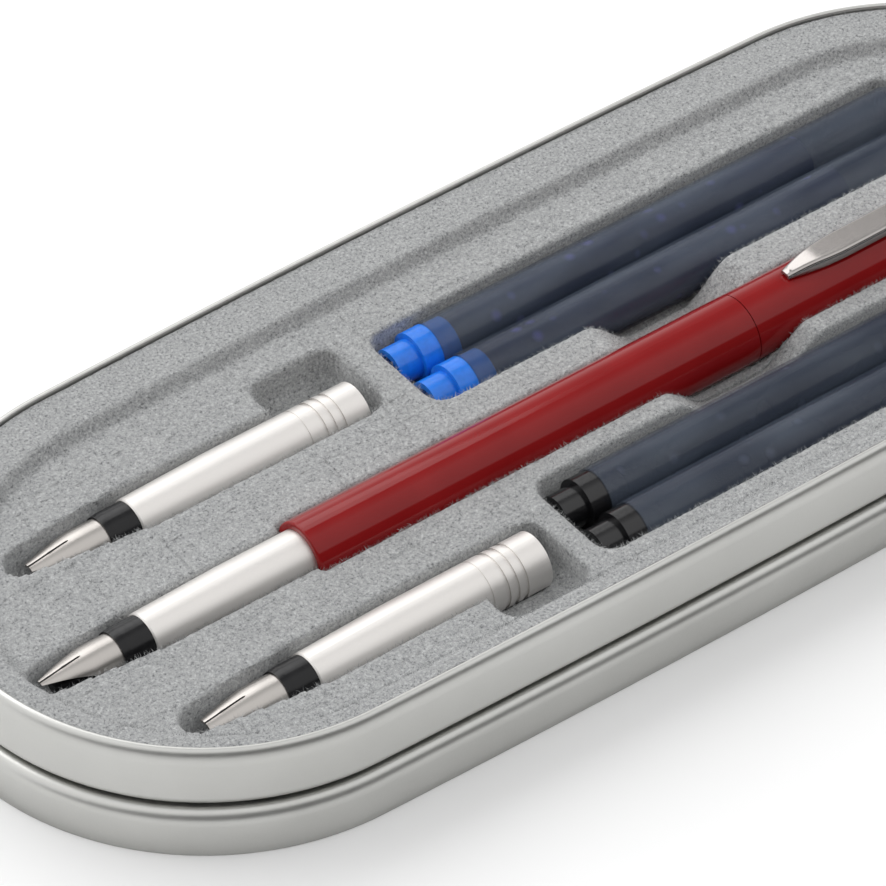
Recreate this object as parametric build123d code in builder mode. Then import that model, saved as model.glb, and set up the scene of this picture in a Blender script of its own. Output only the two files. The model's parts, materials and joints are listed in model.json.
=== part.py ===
"""Slip-lid tin with a flocked tray that holds a posted pen, two spare nib
sections and four ink cartridges. Millimetres, +Z up, +X from the nibs to the
cap. The origin is on the floor, under the middle of the lid."""

import os
from math import asin, cos, radians, sin

from build123d import *

# ---- Tin base: drawn sheet, ends rounded, long sides slightly bowed ----
base_length = 171.8
base_width = 68.0
side_bow_radius = 2090.0
base_height = 8.8
base_sheet = 0.3
base_corner_radius = 1.5
base_foot_inset = 3.5
base_foot_height = 0.45
rim_width = 1.3
rim_depth = 1.3
rim_outer_radius = 1.1

# ---- Lid: slips over the base; here the base stands on it ----
lid_height = 6.4
lid_sheet = 0.3
lid_clearance = 0.4
lid_shoulder_radius = 1.5

# ---- Flocked tray ----
tray_sheet = 0.5
tray_clearance = 0.2
tray_lip_drop = 0.5
tray_skirt_chamfer = 0.8
tray_foot_clearance = 0.3
field_drop = 1.8
field_length = 161.0
field_width = 56.0
field_centre_y = -2.0
field_slope = 1.2
piece_clearance = 0.3
nib_trough_radius = 2.4
trough_end_gap = 1.2
spare_end_gap = 2.8

# ---- Pen ----
pen_y = -4.9
pen_front_x = -65.3
barrel_length = 63.7
barrel_front_fillet = 0.3
barrel_end_wall = 1.0
tail_wall = 0.4
tail_length = 12.0
tail_fillet = 0.6
cap_length = 57.0
cap_wall = 0.4
cap_seam_gap = 0.12
cap_plug_thickness = 1.6
cap_plug_depth = 4.0
cap_end_chamfer = 0.5
cap_pull_room = 3.3
liner_start = 14.0
liner_length = 34.0
liner_wall = 0.6
liner_end_wall = 0.8

# ---- Clip: a folded steel strip on the cap ----
clip_length = 48.0
clip_root_inset = 0.4
clip_root_rise = 1.9
clip_bend_rise = 1.4
clip_tip_rise = 0.7
clip_nose_length = 4.4
clip_width = 3.6
clip_tip_width = 1.5
clip_sheet = 0.35
clip_cap_gap = 0.12
clip_tab_depth = 1.5
clip_tab_length = 1.0
clip_slot_clearance = 0.25

# ---- Nib section: steel sleeve, black core and collar, feed and nib ----
sleeve_length = 32.2
sleeve_radius = 3.5
sleeve_front_radius = 3.2
sleeve_taper_length = 12.0
sleeve_bore = 3.0
sleeve_chamfer = 0.15
sleeve_shown = 22.1
step_line_x = 23.7
step_line_width = 0.25
step_line_depth = 0.08
ring_start_x = 25.7
ring_pitch = 1.3
ring_count = 3
ring_width = 0.55
ring_depth = 0.2
fit_clearance = 0.05
collar_length = 4.1
collar_radius = 3.0
collar_front_radius = 2.85
collar_step_length = 1.0
collar_spigot = 4.0
core_start = 4.4
core_length = 16.0
spike_length = 5.0
spike_radius = 1.1
spike_bore = 0.4
nib_radius = 2.65
nib_sheet = 0.3
nib_shown = 10.0
nib_seat = 3.5
nib_wrap_angle = 80.0
nib_shoulder_angle = 64.0
nib_shoulder_length = 5.0
nib_shoulder_drop = 0.25
nib_tip_rise = 1.6
slit_length = 5.6
slit_width = 0.12
feed_radius = 1.9
feed_tip_radius = 0.8
feed_tip_gap = 1.6
feed_shown_top = 0.4
feed_tail = 14.0
fin_count = 5
fin_pitch = 0.9
fin_gap = 0.35
fin_depth = 0.5

# Place of each section: nib end first, then what its nib writes
spare_sections = {"far": (-54.9, 12.0, 1.5), "near": (-53.9, -20.5, 1.9)}
pen_nib_width = 1.1

# ---- Ink cartridges, in two pairs ----
cartridge_front_x = -15.2
cartridge_length = 76.5
cartridge_radius = 3.4
cartridge_wall = 0.35
cartridge_pitch = 7.0
cartridge_end_wall = 1.2
cartridge_rear_fillet = 1.0
mouth_step = 0.9
mouth_length = 3.2
shoulder_step = 0.2
shoulder_length = 2.6
mouth_plug_length = 2.7
mouth_wall = 0.85
seal_thickness = 0.8
blue_pair_y = 11.9
black_pair_y = -19.6
blue_ink_length = 53.0
black_ink_length = 64.0
cartridge_trough_gap = 0.9

# ---- Finger pockets and the scoop across the webs ----
pocket_length = 12.0
pocket_reach = 5.0
pocket_end_gap = 2.4
pocket_drop = 6.3
pocket_corner = 2.5
pocket_floor_radius = 2.2
trough_floor_radius = 0.8
scoop_start_x = 5.6
scoop_end_x = 26.8
scoop_run = 6.2
scoop_drop = 6.4

# ---- Fits, radii and levels that follow from the sizes above ----
barrel_bore = sleeve_radius + fit_clearance
tail_radius = barrel_bore + tail_wall
cap_bore = tail_radius + fit_clearance
barrel_radius = cap_bore + cap_wall
mouth_radius = cartridge_radius - mouth_step
mouth_bore = mouth_radius - mouth_wall
shoulder_radius = cartridge_radius - shoulder_step
base_bottom = lid_height
base_ring = base_bottom + base_foot_height
base_floor = base_bottom + base_sheet
rim_top = base_bottom + base_height
tray_top = rim_top - tray_lip_drop
field_top = rim_top - field_drop
trough_floor = base_floor + tray_sheet
pen_z = trough_floor + barrel_radius + piece_clearance
spare_z = trough_floor + sleeve_radius + piece_clearance
cartridge_z = trough_floor + cartridge_radius + fit_clearance
barrel_front_x = pen_front_x + sleeve_shown
seam_x = barrel_front_x + barrel_length
cap_end_x = seam_x + cap_length
cap_top = pen_z + barrel_radius

os.makedirs("parts", exist_ok=True)


def write(part, node):
    """Label a finished piece and write its STEP file."""
    part.label = node
    export_step(part, f"parts/{node}.step")


def rounded_outline(length, width, bow, inset=0.0):
    """Closed line of two shallow side arcs and two tangent end arcs."""
    half_length = length / 2
    half_width = width / 2
    end_radius = (2 * bow * half_width - half_length**2 - half_width**2) / (2 * (bow - half_length))
    end_x = half_length - end_radius
    lean = asin(end_x / (bow - end_radius))
    joint_x = end_x + (end_radius - inset) * sin(lean)
    joint_y = (end_radius - inset) * cos(lean)
    tip_x = half_length - inset
    side_y = half_width - inset
    ThreePointArc((-joint_x, joint_y), (0, side_y), (joint_x, joint_y))
    ThreePointArc((joint_x, joint_y), (tip_x, 0), (joint_x, -joint_y))
    ThreePointArc((joint_x, -joint_y), (0, -side_y), (-joint_x, -joint_y))
    ThreePointArc((-joint_x, -joint_y), (-tip_x, 0), (-joint_x, joint_y))


def tin_prism(bottom, top, inset):
    """Upright solid of the tin's outline, moved in by inset."""
    with BuildPart() as prism:
        with BuildSketch(Plane.XY.offset(bottom)):
            with BuildLine():
                rounded_outline(base_length, base_width, side_bow_radius, inset)
            make_face()
        extrude(amount=top - bottom)
    return prism.part


def field_recess(growth):
    """Sloped recess inside the tray's lip, grown by one sheet for its underside."""
    field_bow = side_bow_radius - base_width / 2 + field_width / 2
    levels = ((tray_top, -field_slope), (field_top, field_slope))
    with BuildPart() as recess:
        for level, inset in levels:
            with BuildSketch(Plane((0, field_centre_y, level - growth))):
                with BuildLine():
                    rounded_outline(field_length, field_width, field_bow, inset - growth)
                make_face()
        loft()
        with BuildSketch(Plane((0, field_centre_y, tray_top - growth))):
            with BuildLine():
                rounded_outline(field_length, field_width, field_bow, -field_slope - growth)
            make_face()
        extrude(amount=base_height)
    return recess.part


def turned(plane, profile):
    """Solid turned about the plane's X direction from (x, radius) points."""
    with BuildPart() as solid:
        with BuildSketch(plane):
            with BuildLine():
                Polyline(*profile, close=True)
            make_face()
        revolve(axis=Axis(plane.origin, plane.x_dir))
    return solid.part


def along_x(x, y, z):
    """Plane through a piece's axis: local X along it, local Y straight up."""
    return Plane((x, y, z), x_dir=(1, 0, 0), z_dir=(0, -1, 0))


def round_trough(steps, y, z, growth):
    """Half-round trough, open to the top: a tapered nose, then steps that widen and last."""
    nose_x = steps[0][0] - growth
    profile = [(nose_x, 0), (nose_x, nib_trough_radius + growth)]
    for index, (start, end, radius) in enumerate(steps):
        last = end + growth if index == len(steps) - 1 else end - growth
        if index:
            profile.append((start - growth, radius + growth))
        profile.append((last, radius + growth))
    profile.append((steps[-1][1] + growth, 0))
    with BuildPart() as trough:
        add(turned(along_x(0, y, z), profile))
        with BuildSketch(Plane((0, y, z))):
            with BuildLine():
                Polyline(*profile, *[(x, -r) for x, r in reversed(profile[1:-1])], close=True)
            make_face()
        extrude(amount=rim_top - z)
    return trough.part


def flat_trough(x_low, x_high, y_low, y_high, floor, floor_radius, growth):
    """Flat-bottomed trough or pocket with rounded corners."""
    with BuildPart() as trough:
        with BuildSketch(Plane(((x_low + x_high) / 2, (y_low + y_high) / 2, floor - growth))):
            length = x_high - x_low + 2 * growth
            width = y_high - y_low + 2 * growth
            RectangleRounded(length, width, pocket_corner + growth)
        extrude(amount=rim_top - floor + growth)
        fillet(trough.edges().group_by(Axis.Z)[0], radius=floor_radius + growth)
    return trough.part


def finger_scoop(growth):
    """Dip across both webs beside the pen, with sloped sides."""
    floor = rim_top - scoop_drop - growth
    y_low = black_pair_y + cartridge_pitch / 2
    y_high = blue_pair_y - cartridge_pitch / 2
    with BuildPart() as scoop:
        with BuildSketch(Plane.XZ.offset(-y_high)):
            with BuildLine():
                Polyline(
                    (scoop_start_x - growth, field_top + growth),
                    (scoop_start_x + scoop_run - growth, floor),
                    (scoop_end_x - scoop_run + growth, floor),
                    (scoop_end_x + growth, field_top + growth),
                    (scoop_end_x + growth, rim_top),
                    (scoop_start_x - growth, rim_top),
                    close=True,
                )
            make_face()
        extrude(amount=y_high - y_low)
    return scoop.part


def tray_hollows(growth):
    """Every trough, pocket and scoop of the tray, grown by growth."""
    hollows = []
    section_front = pen_front_x - collar_length - nib_shown
    pen_steps = (
        (section_front - trough_end_gap, pen_front_x, sleeve_front_radius + piece_clearance),
        (pen_front_x, barrel_front_x - piece_clearance, sleeve_radius + 2 * piece_clearance),
        (barrel_front_x - piece_clearance, cap_end_x + cap_pull_room, barrel_radius + piece_clearance),
    )
    hollows.append(round_trough(pen_steps, pen_y, pen_z, growth))
    for side, (front_x, y, _) in spare_sections.items():
        nib_front = front_x - collar_length - nib_shown
        rear = front_x + sleeve_length
        steps = (
            (nib_front - spare_end_gap, front_x, sleeve_front_radius + piece_clearance),
            (front_x, rear + piece_clearance, sleeve_radius + piece_clearance),
        )
        hollows.append(round_trough(steps, y, spare_z, growth))
        outward = 1 if side == "far" else -1
        y_edges = sorted((y - outward * sleeve_radius, y + outward * (sleeve_radius + pocket_reach)))
        x_end = rear + pocket_end_gap
        floor = rim_top - pocket_drop
        pocket = flat_trough(x_end - pocket_length, x_end, *y_edges, floor, pocket_floor_radius, growth)
        hollows.append(pocket)
    reach_y = cartridge_pitch / 2 + cartridge_radius + piece_clearance
    for pair_y in (blue_pair_y, black_pair_y):
        x_low = cartridge_front_x - cartridge_trough_gap
        x_high = cartridge_front_x + cartridge_length + cartridge_trough_gap
        y_low = pair_y - reach_y
        y_high = pair_y + reach_y
        pair = flat_trough(x_low, x_high, y_low, y_high, trough_floor, trough_floor_radius, growth)
        hollows.append(pair)
    hollows.append(finger_scoop(growth))
    return hollows


# ---- Tin ----
with BuildPart() as base_cavity:
    add(tin_prism(base_ring + base_sheet, rim_top - rim_depth, base_sheet))
    fillet(base_cavity.edges().group_by(Axis.Z)[0], radius=base_corner_radius - base_sheet)
    add(tin_prism(base_floor, base_ring + base_sheet, base_foot_inset + base_sheet))

with BuildPart() as base_shell:
    add(tin_prism(base_ring, rim_top, 0))
    fillet(base_shell.edges().group_by(Axis.Z)[0], radius=base_corner_radius)
    fillet(base_shell.edges().group_by(Axis.Z)[-1], radius=rim_outer_radius)
    add(tin_prism(base_bottom, base_ring, base_foot_inset))
    add(base_cavity.part, mode=Mode.SUBTRACT)
    add(tin_prism(rim_top - rim_depth, rim_top, rim_width), mode=Mode.SUBTRACT)
write(base_shell.part, "base_shell")

lid_outset = lid_clearance + lid_sheet
with BuildPart() as lid_cavity:
    add(tin_prism(0, lid_height - lid_sheet, -lid_clearance))
    fillet(lid_cavity.edges().group_by(Axis.Z)[-1], radius=lid_shoulder_radius - lid_sheet)

with BuildPart() as lid_shell:
    add(tin_prism(0, lid_height, -lid_outset))
    fillet(lid_shell.edges().group_by(Axis.Z)[-1], radius=lid_shoulder_radius)
    add(lid_cavity.part, mode=Mode.SUBTRACT)
write(lid_shell.part, "lid_shell")

# ---- Tray: one formed sheet, hollow underneath between its troughs ----
tray_inset = rim_width + tray_clearance
tray_skirt = base_ring + base_sheet
tray_foot_inset = base_foot_inset + base_sheet + tray_foot_clearance
with BuildPart() as tray_underside:
    add(tin_prism(tray_skirt, tray_top - tray_sheet, tray_inset + tray_sheet))
    add(tin_prism(base_floor, tray_skirt, tray_foot_inset))
    add(field_recess(tray_sheet), mode=Mode.SUBTRACT)
    for hollow in tray_hollows(tray_sheet):
        add(hollow, mode=Mode.SUBTRACT)

with BuildPart() as tray:
    add(tin_prism(tray_skirt, tray_top, tray_inset))
    chamfer(tray.edges().group_by(Axis.Z)[0], length=tray_skirt_chamfer)
    add(tin_prism(base_floor, tray_skirt, tray_foot_inset))
    add(field_recess(0), mode=Mode.SUBTRACT)
    for hollow in tray_hollows(0):
        add(hollow, mode=Mode.SUBTRACT)
    add(tray_underside.part, mode=Mode.SUBTRACT)
write(tray.part, "tray")


def nib_face(x, radius, half_angle, drop):
    """Face across the nib: a band of sheet bent about the pen's axis."""
    inner = radius - nib_sheet
    with BuildSketch(Plane((x, 0, drop), x_dir=(0, 1, 0), z_dir=(1, 0, 0))) as face:
        with BuildLine():
            side = Vector(sin(half_angle), cos(half_angle))
            mirrored = Vector(-side.X, side.Y)
            ThreePointArc(mirrored * radius, (0, radius), side * radius)
            Line(side * radius, side * inner)
            ThreePointArc(side * inner, (0, inner), mirrored * inner)
            Line(mirrored * inner, mirrored * radius)
        make_face()
    return face.sketch


def make_section(prefix, front_x, y, z, nib_width):
    """Nib section: sleeve, core, collar, feed and nib. Its sleeve starts at front_x."""
    axis = along_x(front_x, y, z)
    place = Location((front_x, y, z))

    with BuildPart() as sleeve:
        outer = [(0, sleeve_front_radius), (sleeve_taper_length, sleeve_radius)]
        outer += [(sleeve_length, sleeve_radius), (sleeve_length, sleeve_bore), (0, sleeve_bore)]
        add(turned(axis, outer))
        front_edges = sleeve.edges().filter_by(GeomType.CIRCLE).group_by(Axis.X)[0]
        chamfer(front_edges.sort_by(SortBy.RADIUS)[-1:], length=sleeve_chamfer)
        grooves = [(step_line_x, step_line_width, step_line_depth)]
        for index in range(ring_count):
            grooves.append((ring_start_x + index * ring_pitch, ring_width, ring_depth))
        for start, width, depth in grooves:
            floor = sleeve_radius - depth
            top = sleeve_radius + depth
            add(
                turned(axis, [(start, floor), (start + width, floor), (start + width, top), (start, top)]),
                mode=Mode.SUBTRACT,
            )
    write(sleeve.part, f"{prefix}_sleeve")

    core_radius = sleeve_bore - fit_clearance
    core_end = core_start + core_length
    feed_bore = feed_radius + fit_clearance
    with BuildPart() as core:
        profile = [(core_start, feed_bore), (core_start, core_radius), (core_end, core_radius)]
        profile += [(core_end, spike_radius), (core_end + spike_length, spike_radius)]
        profile += [(core_end + spike_length, spike_bore), (feed_tail, spike_bore), (feed_tail, feed_bore)]
        add(turned(axis, profile))
    write(core.part, f"{prefix}_core")

    collar_bore = nib_radius + fit_clearance
    with BuildPart() as collar:
        profile = [(-collar_length, collar_bore), (-collar_length, collar_front_radius)]
        profile += [(collar_step_length - collar_length, collar_radius), (0, collar_radius)]
        profile += [(0, core_radius), (collar_spigot, core_radius), (collar_spigot, collar_bore)]
        add(turned(axis, profile))
    write(collar.part, f"{prefix}_collar")

    tip_x = -collar_length - nib_shown
    wrap = radians(nib_wrap_angle)
    tip_radius = nib_width
    tip_angle = asin(nib_width / 2 / tip_radius)
    tip_centre = nib_tip_rise - tip_radius
    shoulder_x = -collar_length - nib_shoulder_length
    shoulder_angle = radians(nib_shoulder_angle)
    with BuildPart() as nib:
        add(nib_face(tip_x, tip_radius, tip_angle, tip_centre))
        add(nib_face(shoulder_x, nib_radius, shoulder_angle, -nib_shoulder_drop))
        add(nib_face(-collar_length, nib_radius, wrap, 0))
        add(nib_face(nib_seat - collar_length, nib_radius, wrap, 0))
        loft(ruled=True)
        with Locations((tip_x + slit_length / 2, 0, nib_radius)):
            Box(slit_length, slit_width, 2 * nib_radius, mode=Mode.SUBTRACT)
    write(nib.part.moved(place), f"{prefix}_nib")

    feed_front = tip_x + feed_tip_gap
    with BuildPart() as feed:
        profile = [(feed_front, 0), (feed_front, feed_tip_radius), (-collar_length, feed_radius)]
        profile += [(feed_tail, feed_radius), (feed_tail, 0)]
        add(turned(along_x(0, 0, 0), profile))
        shown = -collar_length - feed_front
        with Locations((feed_front + shown / 2, 0, feed_shown_top + feed_radius)):
            Box(shown, 2 * feed_radius, 2 * feed_radius, mode=Mode.SUBTRACT)
        for index in range(fin_count):
            with Locations((-collar_length - (index + 1) * fin_pitch, 0, -feed_radius)):
                Box(fin_gap, 2 * feed_radius, 2 * fin_depth, mode=Mode.SUBTRACT)
    write(feed.part.moved(place), f"{prefix}_feed")


# ---- Pen ----
make_section("pen", pen_front_x, pen_y, pen_z, pen_nib_width)

barrel_axis = along_x(barrel_front_x, pen_y, pen_z)
with BuildPart() as pen_barrel:
    tail_end = barrel_length + tail_length
    barrel_profile = [(0, barrel_bore), (0, barrel_radius), (barrel_length, barrel_radius)]
    barrel_profile += [(barrel_length, tail_radius), (tail_end, tail_radius), (tail_end, 0)]
    barrel_profile += [(tail_end - barrel_end_wall, 0), (tail_end - barrel_end_wall, barrel_bore)]
    add(turned(barrel_axis, barrel_profile))
    front_edges = pen_barrel.edges().filter_by(GeomType.CIRCLE).group_by(Axis.X)[0]
    fillet(front_edges.sort_by(SortBy.RADIUS)[-1:], radius=barrel_front_fillet)
    fillet(pen_barrel.edges().filter_by(GeomType.CIRCLE).group_by(Axis.X)[-1], radius=tail_fillet)
write(pen_barrel.part, "pen_barrel")

cap_axis = along_x(seam_x, pen_y, pen_z)
shell_end = cap_length - cap_plug_thickness
clip_root_x = cap_end_x - clip_root_inset - cap_plug_thickness
slot_width = clip_width + 2 * clip_slot_clearance
slot_front_x = clip_root_x - clip_tab_length - clip_slot_clearance
slot_floor = cap_top - clip_tab_depth - clip_slot_clearance
slot_size = (cap_end_x - cap_plug_thickness - slot_front_x, slot_width, 2 * (cap_top - slot_floor))
slot_centre = (slot_front_x + slot_size[0] / 2, pen_y, cap_top)

with BuildPart() as cap_shell:
    cap_profile = [(cap_seam_gap, cap_bore), (cap_seam_gap, barrel_radius)]
    cap_profile += [(shell_end, barrel_radius), (shell_end, cap_bore)]
    add(turned(cap_axis, cap_profile))
    with Locations(slot_centre):
        Box(*slot_size, mode=Mode.SUBTRACT)
write(cap_shell.part, "cap_shell")

with BuildPart() as cap_plug:
    plug_radius = cap_bore - fit_clearance
    plug_profile = [(shell_end - cap_plug_depth, 0), (shell_end - cap_plug_depth, plug_radius)]
    plug_profile += [(shell_end, plug_radius), (shell_end, barrel_radius), (cap_length, barrel_radius)]
    plug_profile += [(cap_length, 0)]
    add(turned(cap_axis, plug_profile))
    chamfer(cap_plug.edges().filter_by(GeomType.CIRCLE).group_by(Axis.X)[-1], length=cap_end_chamfer)
    with Locations(slot_centre):
        Box(*slot_size, mode=Mode.SUBTRACT)
write(cap_plug.part, "cap_plug")

with BuildPart() as cap_liner:
    liner_radius = cap_bore - fit_clearance
    liner_bore = liner_radius - liner_wall
    liner_end = liner_start + liner_length
    liner_profile = [(liner_start, liner_bore), (liner_start, liner_radius), (liner_end, liner_radius)]
    liner_floor = liner_end - liner_end_wall
    liner_profile += [(liner_end, 0), (liner_floor, 0), (liner_floor, liner_bore)]
    add(turned(cap_axis, liner_profile))
write(cap_liner.part, "cap_liner")

# The clip's side view and plan are crossed, then its channel is cut from below
clip_tip_x = clip_root_x - clip_length
bend_x = clip_tip_x + clip_nose_length


def clip_side(lift):
    """Side view of the clip, with its top line lowered by lift."""
    Polyline(
        (clip_root_x, cap_top + clip_cap_gap),
        (clip_root_x, cap_top + clip_root_rise - lift),
        (bend_x, cap_top + clip_bend_rise - lift),
        (clip_tip_x, cap_top + clip_tip_rise - lift),
        (clip_tip_x, cap_top + clip_cap_gap),
        close=True,
    )


def clip_block(wall):
    """Solid of the clip's side view over its tapered plan, walls moved in."""
    with BuildPart() as block:
        with BuildSketch(Plane.XZ.offset(-pen_y)):
            with BuildLine():
                clip_side(wall)
            make_face()
        extrude(amount=clip_width, both=True)
        with BuildSketch(Plane((0, pen_y, cap_top))):
            with BuildLine():
                tip_half = clip_tip_width / 2 - wall
                root_half = clip_width / 2 - wall
                Polyline(
                    (clip_tip_x + wall, -tip_half),
                    (bend_x + clip_nose_length, -root_half),
                    (clip_root_x - wall, -root_half),
                    (clip_root_x - wall, root_half),
                    (bend_x + clip_nose_length, root_half),
                    (clip_tip_x + wall, tip_half),
                    close=True,
                )
            make_face()
        extrude(amount=2 * clip_root_rise, mode=Mode.INTERSECT)
    return block.part


with BuildPart() as cap_clip:
    add(clip_block(0))
    add(clip_block(clip_sheet), mode=Mode.SUBTRACT)
    tab_height = clip_tab_depth + clip_cap_gap
    tab_centre = (clip_root_x - clip_tab_length / 2, pen_y, cap_top + clip_cap_gap - tab_height / 2)
    with Locations(tab_centre):
        Box(clip_tab_length, clip_width, tab_height)
write(cap_clip.part, "cap_clip")

# ---- Spare nib sections ----
for side, (front_x, y, nib_width) in spare_sections.items():
    make_section(side, front_x, y, spare_z, nib_width)


def make_cartridge(prefix, y, ink_length):
    """Ink cartridge lying along X with its mouth to the nib end."""
    axis = along_x(cartridge_front_x, y, cartridge_z)
    body_start = mouth_length + shoulder_length
    inner_radius = cartridge_radius - cartridge_wall
    plug_end = body_start + mouth_plug_length

    with BuildPart() as tube:
        outer = [(body_start, inner_radius), (body_start, cartridge_radius)]
        outer += [(cartridge_length, cartridge_radius), (cartridge_length, 0)]
        inner_end = cartridge_length - cartridge_end_wall
        outer += [(inner_end, 0), (inner_end, inner_radius)]
        add(turned(axis, outer))
        rear = tube.edges().filter_by(GeomType.CIRCLE).group_by(Axis.X)[-1]
        fillet(rear, radius=cartridge_rear_fillet)
    write(tube.part, f"{prefix}_tube")

    with BuildPart() as mouth:
        plug_radius = inner_radius - fit_clearance
        profile = [(0, mouth_bore), (0, mouth_radius), (mouth_length, mouth_radius)]
        profile += [(mouth_length, shoulder_radius), (body_start, shoulder_radius)]
        profile += [(body_start, plug_radius), (plug_end, plug_radius), (plug_end, mouth_bore)]
        add(turned(axis, profile))
    write(mouth.part, f"{prefix}_mouth")

    with BuildPart() as seal:
        seal_start = mouth_length - seal_thickness
        seal_radius = mouth_bore - fit_clearance
        profile = [(seal_start, 0), (seal_start, seal_radius)]
        profile += [(mouth_length, seal_radius), (mouth_length, 0)]
        add(turned(axis, profile))
    write(seal.part, f"{prefix}_seal")

    with BuildPart() as ink:
        ink_start = plug_end + fit_clearance
        ink_radius = inner_radius - fit_clearance
        profile = [(ink_start, 0), (ink_start, ink_radius)]
        profile += [(ink_start + ink_length, ink_radius), (ink_start + ink_length, 0)]
        add(turned(axis, profile))
    write(ink.part, f"{prefix}_ink")


# ---- Cartridges ----
for colour, pair_y, ink_length in (
    ("blue", blue_pair_y, blue_ink_length),
    ("black", black_pair_y, black_ink_length),
):
    make_cartridge(f"far_{colour}", pair_y + cartridge_pitch / 2, ink_length)
    make_cartridge(f"near_{colour}", pair_y - cartridge_pitch / 2, ink_length)
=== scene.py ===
"""Looks, light and camera of the fountain pen case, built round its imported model.

Metres, in the model's own frame: Z up from the floor, +X from the nibs to the cap's end,
+Y to the far side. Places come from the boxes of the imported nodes.
"""

import json
from math import asin, cos, pi, radians, sin

import bmesh
import bpy
import numpy as np
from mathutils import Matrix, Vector


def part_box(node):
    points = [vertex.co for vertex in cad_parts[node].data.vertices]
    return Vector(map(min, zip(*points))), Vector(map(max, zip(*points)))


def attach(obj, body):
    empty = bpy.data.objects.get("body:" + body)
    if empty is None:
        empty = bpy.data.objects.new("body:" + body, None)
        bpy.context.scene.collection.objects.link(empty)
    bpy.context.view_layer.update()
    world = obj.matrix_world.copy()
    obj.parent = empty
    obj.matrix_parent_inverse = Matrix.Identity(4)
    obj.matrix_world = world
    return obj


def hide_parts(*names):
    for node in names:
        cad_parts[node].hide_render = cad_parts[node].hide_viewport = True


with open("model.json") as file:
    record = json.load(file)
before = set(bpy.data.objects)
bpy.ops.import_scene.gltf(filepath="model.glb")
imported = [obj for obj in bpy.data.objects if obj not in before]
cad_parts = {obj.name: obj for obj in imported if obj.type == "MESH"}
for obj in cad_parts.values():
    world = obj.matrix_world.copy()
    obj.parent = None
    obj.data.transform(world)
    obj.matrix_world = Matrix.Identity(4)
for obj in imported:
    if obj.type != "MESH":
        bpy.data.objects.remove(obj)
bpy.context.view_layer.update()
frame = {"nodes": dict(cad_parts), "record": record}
MM = 0.001

# ---- Driving sizes that the node boxes don't give ----
SIDE_BOW = 2090 * MM
BASE_SHEET = 0.3 * MM
BASE_CORNER = 1.5 * MM
BASE_FOOT = 3.5 * MM
BASE_FOOT_HEIGHT = 0.45 * MM
RIM_WIDTH = 1.3 * MM
RIM_BEAD = (1.05 * MM, 2.2 * MM)
RIM_FILLET = 0.25 * MM
RIM_HEM = 0.3 * MM
LID_SHEET = 0.3 * MM
LID_SHOULDER = (1.5 * MM, 2.0 * MM)
TRAY_SHEET = 0.5 * MM
FIELD_DROP = 1.25 * MM
FIELD_HALF = (80.5 * MM, 28.0 * MM)
FIELD_CENTRE_Y = -2.0 * MM
FIELD_SLOPE = 0.95 * MM
TROUGH_EDGE = 0.6 * MM
NOSE_NEAR_EDGE = 0.2 * MM
# Half-width of each nib's trough at its nose, on the near and the far side
NIB_TROUGH = {
    "pen": (1.98 * MM, 2.2 * MM),
    "far": (1.3 * MM, 2.2 * MM),
    "near": (1.4 * MM, 2.2 * MM),
}
NOSE_GAP = {"pen": 1.2 * MM, "far": 2.8 * MM, "near": 2.8 * MM}
FIT = 0.14 * MM
SCOOP_DROP = 6.4 * MM
SCOOP_X = (5.2 * MM, 27.2 * MM)
SCOOP_RUN = 7.2 * MM
POCKET_DROP = 6.3 * MM
POCKET_LENGTH = 12 * MM
POCKET_REACH = 5 * MM
POCKET_OVERRUN = 2.4 * MM
POCKET_FILLET = 2.2 * MM
CARTRIDGE_END_GAP = 0.9 * MM
CARTRIDGE_FILLET = 0.8 * MM
HOLLOW_CORNER = 2.5 * MM
TROUGH_CORNER = 0.5 * MM
TROUGH_END_FILLET = 1.2 * MM
CAP_ROOM = 3.3 * MM
TRAY_LIP_DROP = 0.5 * MM
TRAY_PITCH = 0.36 * MM
TRAY_GRAIN = 0.035 * MM
TRAY_SKIRT_RISE = 1.3 * MM

FIBRE_COUNT = 80000
FIBRE_LENGTH = (0.3 * MM, 0.7 * MM)
FIBRE_HALF_WIDTH = 0.022 * MM
FIBRE_SPREAD = 0.18 * MM
STEEP = 0.35
STEEP_WEIGHT = 12

CAMERA_TARGET = (-20.87 * MM, -2.38 * MM)
CAMERA_AZIMUTH = -37.42
CAMERA_ELEVATION = 42.68
CAMERA_DISTANCE = 974.2 * MM
CAMERA_LENS = 345.5


def corners(node):
    """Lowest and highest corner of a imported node."""
    low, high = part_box(node)
    return Vector(low), Vector(high)


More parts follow.
